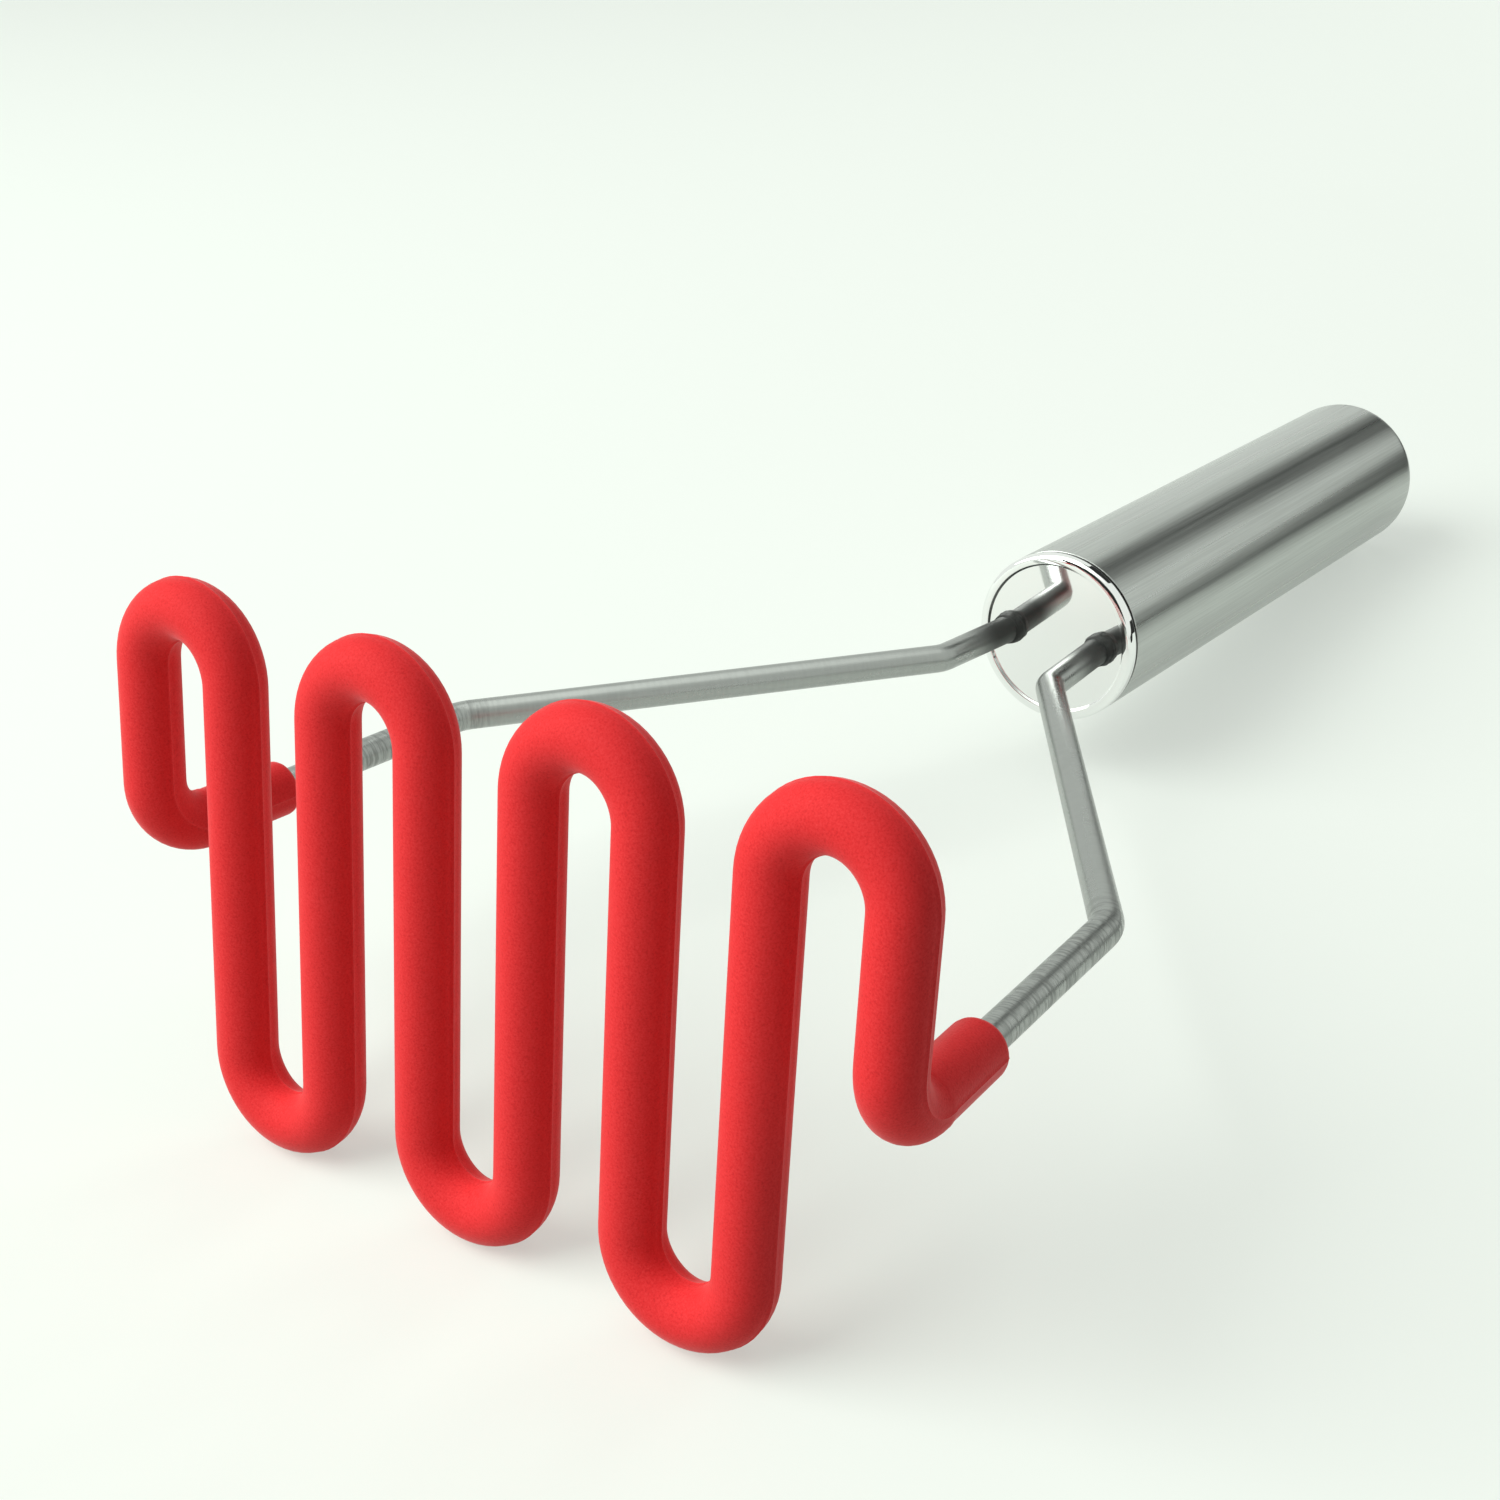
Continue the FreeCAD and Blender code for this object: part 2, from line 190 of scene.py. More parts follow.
class StageSettings(bpy.types.PropertyGroup):
    """Camera and lights."""

    target: FloatVectorProperty(
        name="Aim", description="Point that the camera looks at", default=(0.0, -0.0718, 0.0342),
        subtype="TRANSLATION", unit="LENGTH")
    azimuth: FloatProperty(
        name="Azimuth", description="Turn of the camera about the masher", default=math.radians(38.91),
        subtype="ANGLE")
    elevation: FloatProperty(
        name="Elevation", description="Height angle of the camera", default=math.radians(29.47), subtype="ANGLE")
    roll: FloatProperty(
        name="Roll", description="Roll of the camera", default=math.radians(-3.56), subtype="ANGLE")
    distance: FloatProperty(
        name="Distance", description="From the camera to its aim", default=0.2946, unit="LENGTH")
    lens: FloatProperty(name="Lens", description="Focal length in millimetres", default=52.88)
    shift_across: FloatProperty(name="Shift across", description="Sideways lens shift", default=0.0114)
    shift_up: FloatProperty(name="Shift up", description="Upward lens shift", default=0.038)
    floor_size: FloatProperty(
        name="Floor size", description="Width of the floor", default=6.0, unit="LENGTH")
    floor_light: FloatProperty(
        name="Floor glow", description="Share of the floor's colour that shows without light", default=0.5,
        min=0, max=1, subtype="FACTOR")
    key_power: FloatProperty(name="Key", description="Power of the large key light", default=33.0, unit="POWER")
    fill_power: FloatProperty(name="Fill", description="Power of the overhead fill", default=6.0, unit="POWER")
    rim_power: FloatProperty(
        name="Rim", description="Power of the light behind the masher", default=5.0, unit="POWER")
    sky: FloatProperty(name="Sky", description="Strength of the surrounding studio", default=0.08)


GROUPS = {
    "masher_rod_sizes": RodSizes,
    "masher_cover_sizes": CoverSizes,
    "masher_handle_sizes": HandleSizes,
    "masher_finishes": Finishes,
    "masher_stage": StageSettings,
}


# ---------------------------------------------------------------- the tool's own frame

def tool_matrix(handle):
    """Matrix from the tool's own frame to the lying pose, read from the two handle mounts."""
    rear = MOUNTS["rear_face"]
    along = Vector(rear["axis"]).normalized()
    across = Vector((1, 0, 0))
    up = across.cross(along)
    origin = Vector(rear["pos_m"]) - along * (handle.face_back + handle.length)
    matrix = Matrix((across, along, up)).transposed().to_4x4()
    matrix.translation = origin
    return matrix


def head_point(rod, across, up):
    """Point of the leaning head plane."""
    return Vector((across, up * math.sin(rod.head_lean), up * math.cos(rod.head_lean)))


def head_corners(rod):
    """Corners of the serpentine as (point, bend radius), from the left outer leg to the right one."""
    turn = rod.leg_pitch / 2
    reach = rod.leg_straight / 2 + turn
    corners = []
    for leg in range(rod.leg_count):
        across = (leg - (rod.leg_count - 1) / 2) * rod.leg_pitch
        first, second = (-reach, reach) if leg % 2 == 0 else (reach, -reach)
        if leg > 0:
            corners.append((head_point(rod, across, first), turn))
        if leg < rod.leg_count - 1:
            corners.append((head_point(rod, across, second), turn))
    return corners


def arm_corners(rod, handle, side):
    """Corners of one arm from inside the handle to the heel."""
    heel_across = (rod.leg_count - 1) * rod.leg_pitch / 2
    knee_across = heel_across - rod.knee_inset
    neck_across = rod.entry_across + rod.neck_splay
    face = handle.face_back
    return [
        (Vector((side * rod.entry_across, face + rod.tail, 0)), 0),
        (Vector((side * rod.entry_across, face - handle.bead_length, 0)), rod.entry_bend),
        (Vector((side * neck_across, face - rod.neck_ahead, 0)), rod.neck_bend),
        (Vector((side * knee_across, rod.knee_back, 0)), rod.knee_bend),
        (Vector((side * heel_across, 0, 0)), rod.heel_bend),
    ]


def rod_corners(rod, handle):
    """Corners of the whole rod."""
    return arm_corners(rod, handle, -1) + head_corners(rod) + arm_corners(rod, handle, 1)[::-1]


def cover_corners(rod, handle, reach):
    """Corners of the stretch of rod that ends the given reach behind each heel."""
    ends = []
    for side in (-1, 1):
        knee, heel_corner = [arm_corners(rod, handle, side)[index] for index in (-2, -1)]
        heel = heel_corner[0]
        ends.append([(heel + (knee[0] - heel).normalized() * reach, 0), heel_corner])
    return ends[0] + head_corners(rod) + ends[1][::-1]


# ---------------------------------------------------------------- mesh tools

class Bar:
    """A ring of edges that is pushed along straight runs and round bends.

    The vertex layer "bar_place" holds where each vertex lies on the bar before it is bent: the
    distance along it, then the two offsets across it.
    """

    def __init__(self, bm, corners, radius, segments):
        self.bm = bm
        self.corners = corners
        self.place = bm.verts.layers.float_vector.get("bar_place")
        if self.place is None:
            self.place = bm.verts.layers.float_vector.new("bar_place")
        centre = corners[0][0]
        direction = (corners[1][0] - centre).normalized()
        side = direction.cross(Vector((0, 0, 1))).normalized()
        up = side.cross(direction)
        matrix = Matrix((side, up, direction)).transposed().to_4x4()
        matrix.translation = centre
        made = bmesh.ops.create_circle(bm, cap_ends=False, segments=segments, radius=radius, matrix=matrix)
        self.verts = made["verts"]
        self.ring = list({edge for vert in self.verts for edge in vert.link_edges})
        self.mark(centre, side, up)
        self.first_ring = list(self.ring)
        self.length = 0.0

    def mark(self, centre, side, up):
        """Store the offsets across the bar."""
        for vert in self.verts:
            offset = vert.co - centre
            vert[self.place] = Vector((0, offset.dot(side), offset.dot(up)))

    def push(self, advance):
        """Extrude the ring in place; its stored distance grows by the advance."""
        made = bmesh.ops.extrude_edge_only(self.bm, edges=self.ring)["geom"]
        self.verts = [item for item in made if isinstance(item, bmesh.types.BMVert)]
        fresh = set(self.verts)
        self.ring = [
            item for item in made
            if isinstance(item, bmesh.types.BMEdge) and all(vert in fresh for vert in item.verts)
        ]
        self.length += advance
        for vert in self.verts:
            place = vert[self.place]
            vert[self.place] = Vector((self.length, place.y, place.z))

    def run(self, move, step):
        """Go straight on."""
        if move.length < 0.01 * MILLI:
            return
        parts = max(1, round(move.length / step))
        for _ in range(parts):
            self.push(move.length / parts)
            bmesh.ops.translate(self.bm, verts=self.verts, vec=move / parts)

    def turn(self, centre, axis, angle, radius, step):
        """Go round a bend."""
        parts = max(2, round(angle / step))
        for _ in range(parts):
            self.push(radius * angle / parts)
            bmesh.ops.rotate(
                self.bm, verts=self.verts, cent=centre, matrix=Matrix.Rotation(angle / parts, 3, axis))

    def resize(self, centre, direction, ratio):
        """Go straight on over a short ledge while the ring grows or shrinks."""
        advance = 0.35 * MILLI
        self.push(advance)
        bmesh.ops.translate(self.bm, verts=self.verts, vec=direction * advance)
        middle = centre + direction * advance
        bmesh.ops.scale(self.bm, verts=self.verts, vec=(ratio,) * 3, space=Matrix.Translation(-middle))
        return middle

    def sweep(self, run_step, turn_step, ledge_ratio=1.0):
        """Follow all the corners; the first and last runs may be slimmer than the rest."""
        here = self.corners[0][0]
        for index in range(1, len(self.corners) - 1):
            corner, radius = self.corners[index]
            back = (self.corners[index - 1][0] - corner).normalized()
            ahead = (self.corners[index + 1][0] - corner).normalized()
            half = back.angle(ahead) / 2
            setback = radius / math.tan(half)
            if index == 1 and ledge_ratio != 1:
                before = corner + back * (setback + 0.35 * MILLI)
                self.run(before - here, run_step)
                here = self.resize(before, -back, ledge_ratio)
            self.run(corner + back * setback - here, run_step)
            centre = corner + (back + ahead).normalized() * (radius / math.sin(half))
            axis = ahead.cross(back).normalized()
            self.turn(centre, axis, math.pi - 2 * half, radius, turn_step)
            here = corner + ahead * setback
        if ledge_ratio != 1:
            here = self.resize(here, ahead, 1 / ledge_ratio)
        self.run(self.corners[-1][0] - here, run_step)
        return self


def centre_places(bm, length):
    """Count the stored distance from the bar's middle."""
    layer = bm.verts.layers.float_vector["bar_place"]
    for vert in bm.verts:
        vert[layer] = vert[layer] - Vector((length / 2, 0, 0))


def lathe(bm, outline, segments, closed):
    """Spin an outline about the Y axis; its corners are (radius, distance along Y, rounding)."""
    verts = [bm.verts.new((radius, along, 0)) for radius, along, _ in outline]
    for pair in zip(verts, verts[1:] + verts[:1] if closed else verts[1:]):
        bm.edges.new(pair)
    for vert, (_, _, rounding) in zip(verts, outline):
        if rounding > 0:
            bmesh.ops.bevel(
                bm, geom=[vert], offset=rounding, offset_type="OFFSET", segments=7, profile=0.5,
                affect="VERTICES", material=-1, clamp_overlap=False)
    bmesh.ops.spin(
        bm, geom=list(bm.verts) + list(bm.edges), cent=(0, 0, 0), axis=(0, 1, 0), dvec=(0, 0, 0),
        angle=2 * math.pi, space=Matrix.Identity(4), steps=segments,
        use_merge=True, use_normal_flip=False, use_duplicate=False)
    bmesh.ops.remove_doubles(bm, verts=bm.verts, dist=1e-6)
    bmesh.ops.recalc_face_normals(bm, faces=bm.faces)


def finished_piece(name, bm, matrix, material, node, turned=False):
    """Turn a bmesh into a piece that stands for a node and rides on the masher's body."""
    mesh = bpy.data.meshes.new(name)
    bm.to_mesh(mesh)
    bm.free()
    mesh.transform(matrix)
    mesh.shade_smooth()
    mesh.set_sharp_from_angle(angle=math.radians(32))
    mesh.materials.append(material)
    piece = bpy.data.objects.new(name, mesh)
    bpy.context.scene.collection.objects.link(piece)
    if turned:
        even = piece.modifiers.new("Even shading", "WEIGHTED_NORMAL")
        even.keep_sharp = True
    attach(piece, BODY)
    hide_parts(node)
    return piece


# ---------------------------------------------------------------- node tools

def add_node(tree, kind, inputs=None, **settings):
    """Add a node; each input is a value or a socket to link from."""
    made = tree.nodes.new(kind)
    for key, value in settings.items():
        setattr(made, key, value)
    for key, value in (inputs or {}).items():
        socket = made.inputs[key]
        if isinstance(value, bpy.types.NodeSocket):
            tree.links.new(value, socket)
        else:
            socket.default_value = value
    return made


def math_node(tree, operation, *values, clamp=False):
    """Add a math node and return its result."""
    made = add_node(tree, "ShaderNodeMath", dict(enumerate(values)), operation=operation, use_clamp=clamp)
    return made.outputs[0]


def map_range(tree, value, low, high, to_low=0.0, to_high=1.0, smooth=True):
    """Remap a value, clamped."""
    made = add_node(
        tree, "ShaderNodeMapRange",
        {"Value": value, "From Min": low, "From Max": high, "To Min": to_low, "To Max": to_high},
        interpolation_type="SMOOTHSTEP" if smooth else "LINEAR")
    return made.outputs["Result"]


def mix_colour(tree, factor, first, second, blend_type="MIX"):
    """Mix two colours."""
    made = tree.nodes.new("ShaderNodeMix")
    made.data_type = "RGBA"
    made.blend_type = blend_type
    for socket, value in ((made.inputs[0], factor), (made.inputs[6], first), (made.inputs[7], second)):
        if isinstance(value, bpy.types.NodeSocket):
            tree.links.new(value, socket)
        elif socket.type == "RGBA":
            socket.default_value = (*value, 1)
        else:
            socket.default_value = value
    return made.outputs[2]


def new_group(name, inputs, outputs):
    """Make a shader node group with named sockets; returns its tree, input node and output node."""
    tree = bpy.data.node_groups.new(name, "ShaderNodeTree")
    for socket, kind, default in inputs:
        made = tree.interface.new_socket(name=socket, in_out="INPUT", socket_type=kind)
        if default is not None:
            made.default_value = default
    for socket, kind in outputs:
        tree.interface.new_socket(name=socket, in_out="OUTPUT", socket_type=kind)
    return tree, tree.nodes.new("NodeGroupInput"), tree.nodes.new("NodeGroupOutput")


def group(tree, name, inputs):
    """Place a node group."""
    made = tree.nodes.new("ShaderNodeGroup")
    made.node_tree = GROUP_MAKERS[name]() if name not in bpy.data.node_groups else bpy.data.node_groups[name]
    for key, value in inputs.items():
        socket = made.inputs[key]
        if isinstance(value, bpy.types.NodeSocket):
            tree.links.new(value, socket)
        else:
            socket.default_value = value
    return made.outputs


def make_brushed_grain():
    """Fine streaks that run along the second axis of a vector in metres."""
    tree, given, result = new_group(
        "Brushed grain",
        [("Vector", "NodeSocketVector", None), ("Stretch", "NodeSocketVector", (1, 1, 1)),
         ("Detail", "NodeSocketFloat", 3.0)],
        [("Fine", "NodeSocketFloat"), ("Broad", "NodeSocketFloat")])
    scaled = add_node(
        tree, "ShaderNodeVectorMath", {0: given.outputs["Vector"], 1: given.outputs["Stretch"]},
        operation="MULTIPLY").outputs[0]
    fine = add_node(
        tree, "ShaderNodeTexNoise", {"Vector": scaled, "Scale": 1.0, "Detail": given.outputs["Detail"],
                                     "Roughness": 0.62})
    broader = add_node(
        tree, "ShaderNodeVectorMath", {0: scaled, "Scale": 0.17}, operation="SCALE").outputs[0]
    broad = add_node(
        tree, "ShaderNodeTexNoise", {"Vector": broader, "Scale": 1.0, "Detail": 2.0, "Roughness": 0.5})
    tree.links.new(fine.outputs["Fac"], result.inputs["Fine"])
    tree.links.new(broad.outputs["Fac"], result.inputs["Broad"])
    return tree


def make_handling_marks():
    """Soft blotches left by hands and cloths."""
    tree, given, result = new_group(
        "Handling marks",
        [("Vector", "NodeSocketVector", None), ("Scale", "NodeSocketFloat", 60.0),
         ("Cover", "NodeSocketFloat", 0.5)],
        [("Mask", "NodeSocketFloat")])
    cloud = add_node(
        tree, "ShaderNodeTexNoise",
        {"Vector": given.outputs["Vector"], "Scale": given.outputs["Scale"], "Detail": 5.0,
         "Roughness": 0.6, "Distortion": 0.6}).outputs["Fac"]
    low = math_node(tree, "SUBTRACT", 0.78, math_node(tree, "MULTIPLY", given.outputs["Cover"], 0.45))
    mask = map_range(tree, cloud, low, math_node(tree, "ADD", low, 0.22))
    tree.links.new(mask, result.inputs["Mask"])
    return tree


def make_fine_specks():
    """Small scattered specks."""
    tree, given, result = new_group(
        "Fine specks",
        [("Vector", "NodeSocketVector", None), ("Scale", "NodeSocketFloat", 900.0),
         ("Size", "NodeSocketFloat", 0.12)],
        [("Mask", "NodeSocketFloat")])
    cells = add_node(
        tree, "ShaderNodeTexVoronoi",
        {"Vector": given.outputs["Vector"], "Scale": given.outputs["Scale"], "Randomness": 1.0})
    near = map_range(
        tree, cells.outputs["Distance"], math_node(tree, "MULTIPLY", given.outputs["Size"], 0.5),
        given.outputs["Size"], 1.0, 0.0)
    chosen = add_node(tree, "ShaderNodeSeparateColor", {"Color": cells.outputs["Color"]}).outputs[0]
    picked = math_node(tree, "GREATER_THAN", chosen, 0.72)
    tree.links.new(math_node(tree, "MULTIPLY", near, picked), result.inputs["Mask"])
    return tree


GROUP_MAKERS = {
    "Brushed grain": make_brushed_grain,
    "Handling marks": make_handling_marks,
    "Fine specks": make_fine_specks,
}


def new_material(name):
    """Make a material with a Principled BSDF; returns it with its tree and shader."""
    material = bpy.data.materials.new(name)
    material.use_nodes = True
    tree = material.node_tree
    tree.nodes.clear()
    shader = add_node(tree, "ShaderNodeBsdfPrincipled")
    output = add_node(tree, "ShaderNodeOutputMaterial")
    tree.links.new(shader.outputs["BSDF"], output.inputs["Surface"])
    return material, tree, shader


def bump(tree, height, distance, strength=1.0, normal=None):
    """Bump from a height; its distance is in metres."""
    inputs = {"Height": height, "Distance": distance, "Strength": strength}
    if normal is not None:
        inputs["Normal"] = normal
    return add_node(tree, "ShaderNodeBump", inputs).outputs["Normal"]


def seen_directly(tree):
    """1 for rays from the camera, from gloss and through glass."""
    path = add_node(tree, "ShaderNodeLightPath").outputs
    seen = math_node(tree, "MAXIMUM", path["Is Camera Ray"], path["Is Glossy Ray"])
    return math_node(tree, "MAXIMUM", seen, path["Is Transmission Ray"])


def along_handle(tree, matrix):
    """Object coordinates turned so that the handle's axis is their second axis."""
    coordinates = add_node(tree, "ShaderNodeTexCoord").outputs["Object"]
    return add_node(
        tree, "ShaderNodeMapping",
        {"Vector": coordinates, "Rotation": matrix.to_3x3().inverted().to_euler()},
        vector_type="POINT").outputs["Vector"]


# ---------------------------------------------------------------- materials

def silicone_material(colours):
    """Matte moulded silicone with a faint bloom, specks and a fine parting line."""
    material, tree, shader = new_material("red_silicone")
    place = add_node(tree, "ShaderNodeAttribute", attribute_name="bar_place").outputs["Vector"]
    coordinates = add_node(tree, "ShaderNodeTexCoord").outputs["Object"]
    bloom = group(tree, "Handling marks", {"Vector": coordinates, "Scale": 85.0, "Cover": 0.45})["Mask"]
    specks = group(tree, "Fine specks", {"Vector": coordinates, "Scale": 1300.0, "Size": 0.16})["Mask"]
    paler = math_node(tree, "MULTIPLY", bloom, 0.16)
    colour = mix_colour(tree, paler, colours.silicone, colours.silicone_bloom)
    colour = mix_colour(
        tree, math_node(tree, "MULTIPLY", specks, 0.35), colour, colours.silicone_bloom)
    height_above = add_node(tree, "ShaderNodeSeparateXYZ", {"Vector": place}).outputs["Z"]
    parting = map_range(
        tree, math_node(tree, "ABSOLUTE", height_above), 0.00008, 0.00026, 1.0, 0.0)
    colour = mix_colour(tree, math_node(tree, "MULTIPLY", parting, 0.22), colour, colours.silicone_bloom)
    grain = add_node(
        tree, "ShaderNodeTexNoise",
        {"Vector": coordinates, "Scale": 3800.0, "Detail": 2.0, "Roughness": 0.65}).outputs["Fac"]
    mottle = map_range(tree, grain, 0.40, 0.72, 0.0, 0.30)
    colour = mix_colour(tree, mottle, colour, colours.silicone_bloom)
    shade = map_range(tree, grain, 0.28, 0.46, 0.34, 0.0)
    colour = mix_colour(tree, shade, colour, [channel * 0.62 for channel in colours.silicone])
    tree.links.new(colour, shader.inputs["Base Color"])
    waves = add_node(
        tree, "ShaderNodeTexNoise", {"Vector": coordinates, "Scale": 190.0, "Detail": 2.0}).outputs["Fac"]
    roughness = math_node(
        tree, "ADD", map_range(tree, waves, 0.3, 0.7, 0.60, 0.66), math_node(tree, "MULTIPLY", bloom, 0.06))
    tree.links.new(roughness, shader.inputs["Roughness"])
    normal = bump(tree, waves, 0.00012, 0.35)
    tree.links.new(bump(tree, grain, 0.00005, 0.6, normal), shader.inputs["Normal"])
    shader.inputs["Specular IOR Level"].default_value = 0.07
    shader.inputs["Sheen Weight"].default_value = 0.42
    shader.inputs["Sheen Roughness"].default_value = 0.35
    shader.inputs["Sheen Tint"].default_value = (1, 0.6, 0.6, 1)
    return material


def rod_material(colours, marks_from, marks_to, cap_from):
    """Drawn bar: satin, scratched across behind the silicone, with a dark band of painted reflection on the stub by
    the cap.

    The three distances are counted along the bar from its middle.
    """
    material, tree, shader = new_material("rod_steel")
    place = add_node(tree, "ShaderNodeAttribute", attribute_name="bar_place").outputs["Vector"]
    parts = add_node(tree, "ShaderNodeSeparateXYZ", {"Vector": place})
    along = math_node(tree, "ABSOLUTE", parts.outputs["X"])
    scratch = group(
        tree, "Brushed grain", {"Vector": place, "Stretch": (2600.0, 330.0, 330.0), "Detail": 4.0})
    drawn = group(
        tree, "Brushed grain", {"Vector": place, "Stretch": (90.0, 2400.0, 2400.0), "Detail": 3.0})
    blotch = group(tree, "Handling marks", {"Vector": place, "Scale": 170.0, "Cover": 0.5})["Mask"]
    marked = math_node(
        tree, "MULTIPLY", map_range(tree, along, marks_from, marks_from + 0.002, 0.55, 1.0),
        map_range(tree, along, marks_to - 0.004, marks_to + 0.006, 1.0, 0.12))
    grooves = map_range(tree, scratch["Fine"], 0.36, 0.62, 1.0, 0.0)
    wear = math_node(tree, "MULTIPLY", grooves, marked)
    # Painted dark reflection: the stub before the cap is darkened in colour and roughened, standing in for the dark
    # surroundings it reflects.
    stub_painted_reflection = map_range(tree, along, cap_from - 0.015, cap_from - 0.006, 0.0, 1.0)
    darker = mix_colour(
        tree, math_node(tree, "MULTIPLY", wear, 0.62), colours.rod_steel, [c * 0.42 for c in colours.rod_steel])
    darker = mix_colour(
        tree, math_node(tree, "MULTIPLY", blotch, 0.22), darker, [c * 0.6 for c in colours.rod_steel])
    darker = mix_colour(
        tree, math_node(tree, "MULTIPLY", stub_painted_reflection, 0.92), darker, [c * 0.12 for c in colours.rod_steel])
    tree.links.new(darker, shader.inputs["Base Color"])
    shader.inputs["Metallic"].default_value = 1.0
    roughness = math_node(
        tree, "ADD", map_range(tree, drawn["Broad"], 0.3, 0.7, 0.24, 0.33), math_node(tree, "MULTIPLY", wear, 0.16))
    roughness = math_node(tree, "ADD", roughness, math_node(tree, "MULTIPLY", stub_painted_reflection, 0.22))
    tree.links.new(roughness, shader.inputs["Roughness"])
    normal = bump(tree, drawn["Fine"], 0.00002, 0.5)
    normal = bump(tree, math_node(tree, "MULTIPLY", scratch["Fine"], marked), 0.00005, 0.7, normal)
    tree.links.new(normal, shader.inputs["Normal"])
    return material


def handle_material(colours, matrix):
    """Tube steel, brushed along the handle."""
    material, tree, shader = new_material("handle_steel")
    vector = along_handle(tree, matrix)
    grain = group(tree, "Brushed grain", {"Vector": vector, "Stretch": (4200.0, 34.0, 4200.0), "Detail": 3.0})
    smudge = group(tree, "Handling marks", {"Vector": vector, "Scale": 48.0, "Cover": 0.4})["Mask"]
    tone = map_range(tree, grain["Fine"], 0.3, 0.7, 0.0, 1.0)
    colour = mix_colour(
        tree, tone, [c * 0.90 for c in colours.handle_steel], [min(1, c * 1.07) for c in colours.handle_steel])
    colour = mix_colour(
        tree, math_node(tree, "MULTIPLY", smudge, 0.10), colour, [c * 0.8 for c in colours.handle_steel])
    tree.links.new(colour, shader.inputs["Base Color"])
    shader.inputs["Metallic"].default_value = 1.0
    roughness = math_node(
        tree, "ADD", map_range(tree, grain["Broad"], 0.3, 0.7, 0.27, 0.33),
        math_node(tree, "MULTIPLY", smudge, 0.05))
    tree.links.new(roughness, shader.inputs["Roughness"])
    normal = bump(tree, grain["Fine"], 0.00002, 0.6)
    tree.links.new(normal, shader.inputs["Normal"])
    return material


def polished_material(colours, matrix, seam):
    """Mirror polished steel with a few soft marks and a dark line of painted shade towards the seam."""
    material, tree, shader = new_material("polished_steel")
    vector = along_handle(tree, matrix)
    smudge = group(tree, "Handling marks", {"Vector": vector, "Scale": 140.0, "Cover": 0.35})["Mask"]
    shader.inputs["Metallic"].default_value = 1.0
    colour = mix_colour(
        tree, math_node(tree, "MULTIPLY", smudge, 0.25), colours.polished_steel,
        [c * 0.88 for c in colours.polished_steel])
    along = add_node(tree, "ShaderNodeSeparateXYZ", {"Vector": vector}).outputs["Y"]
    start = (matrix.inverted().to_3x3() @ matrix.translation).y + seam
    # Painted shade: the steel turns near black and rougher just before the seam, standing in for the shadow in the
    # joint.
    painted_seam_shade = map_range(tree, along, start - 0.0004, start - 0.0001, 0.0, 1.0)
    colour = mix_colour(tree, math_node(tree, "MULTIPLY", painted_seam_shade, 0.94), colour, (0.03, 0.03, 0.03))
    tree.links.new(colour, shader.inputs["Base Color"])
    roughness = math_node(
        tree, "ADD", map_range(tree, smudge, 0.0, 1.0, 0.035, 0.09), math_node(tree, "MULTIPLY", painted_seam_shade, 0.4))
    tree.links.new(roughness, shader.inputs["Roughness"])
    return material


def weld_material(colours):
    """Dark ground weld metal."""
    material, tree, shader = new_material("weld_steel")
    coordinates = add_node(tree, "ShaderNodeTexCoord").outputs["Object"]
    scale = group(tree, "Handling marks", {"Vector": coordinates, "Scale": 900.0, "Cover": 0.6})["Mask"]
    colour = mix_colour(tree, scale, colours.weld, [c * 0.4 for c in colours.weld])
    tree.links.new(colour, shader.inputs["Base Color"])
    shader.inputs["Specular IOR Level"].default_value = 0.2
    tree.links.new(map_range(tree, scale, 0.0, 1.0, 0.5, 0.65), shader.inputs["Roughness"])
    pits = add_node(
        tree, "ShaderNodeTexNoise", {"Vector": coordinates, "Scale": 1500.0, "Detail": 3.0}).outputs["Fac"]
    tree.links.new(bump(tree, pits, 0.00006, 0.8), shader.inputs["Normal"])
    return material


def floor_material(colours, own_light):
    """Plain pale floor: part of its colour is lit and keeps the shadows, the rest shows by itself.

    The second part is seen at full strength by the camera, metal and glass, and lights only softly.
    """
    material, tree, shader = new_material("pale_floor")
    lit = [channel * (1 - own_light) for channel in colours.floor]
    shader.inputs["Base Color"].default_value = (*lit, 1)
    shader.inputs["Roughness"].default_value = 0.9
    shader.inputs["Specular IOR Level"].default_value = 0.1
    shader.inputs["Emission Color"].default_value = (*colours.floor, 1)
    strength = map_range(tree, seen_directly(tree), 0.0, 1.0, own_light * 0.35, own_light, smooth=False)
    tree.links.new(strength, shader.inputs["Emission Strength"])
    return material


# ---------------------------------------------------------------- operators

class MASHER_OT_add_rod(bpy.types.Operator):
    """Add the bent rod that forms the head's core and both arms"""

    bl_idname = "masher.add_rod"
    bl_label = "Bent Rod"

    def execute(self, context):
        rod, handle = context.scene.masher_rod_sizes, context.scene.masher_handle_sizes
        cover = context.scene.masher_cover_sizes
        bm = bmesh.new()
        bar = Bar(bm, rod_corners(rod, handle), rod.radius, 40)
        bar.sweep(15 * MILLI, math.radians(6))
        bmesh.ops.contextual_create(bm, geom=bar.first_ring)
        bmesh.ops.contextual_create(bm, geom=bar.ring)
        bmesh.ops.recalc_face_normals(bm, faces=bm.faces)
        centre_places(bm, bar.length)
        heel = rod_corners(rod, handle)[4][0]
        knee = rod_corners(rod, handle)[3][0]
        half = bar.length / 2
        cap_at = half - rod.tail
        knee_at = cap_at - handle.bead_length - (rod_corners(rod, handle)[1][0] - knee).length
        sleeve_at = knee_at - (knee - heel).length + cover.reach
        finished_piece(
            "masher_rod_steel", bm, tool_matrix(handle),
            rod_material(context.scene.masher_finishes, sleeve_at, knee_at, cap_at),
            "masher_rod")
        return {"FINISHED"}


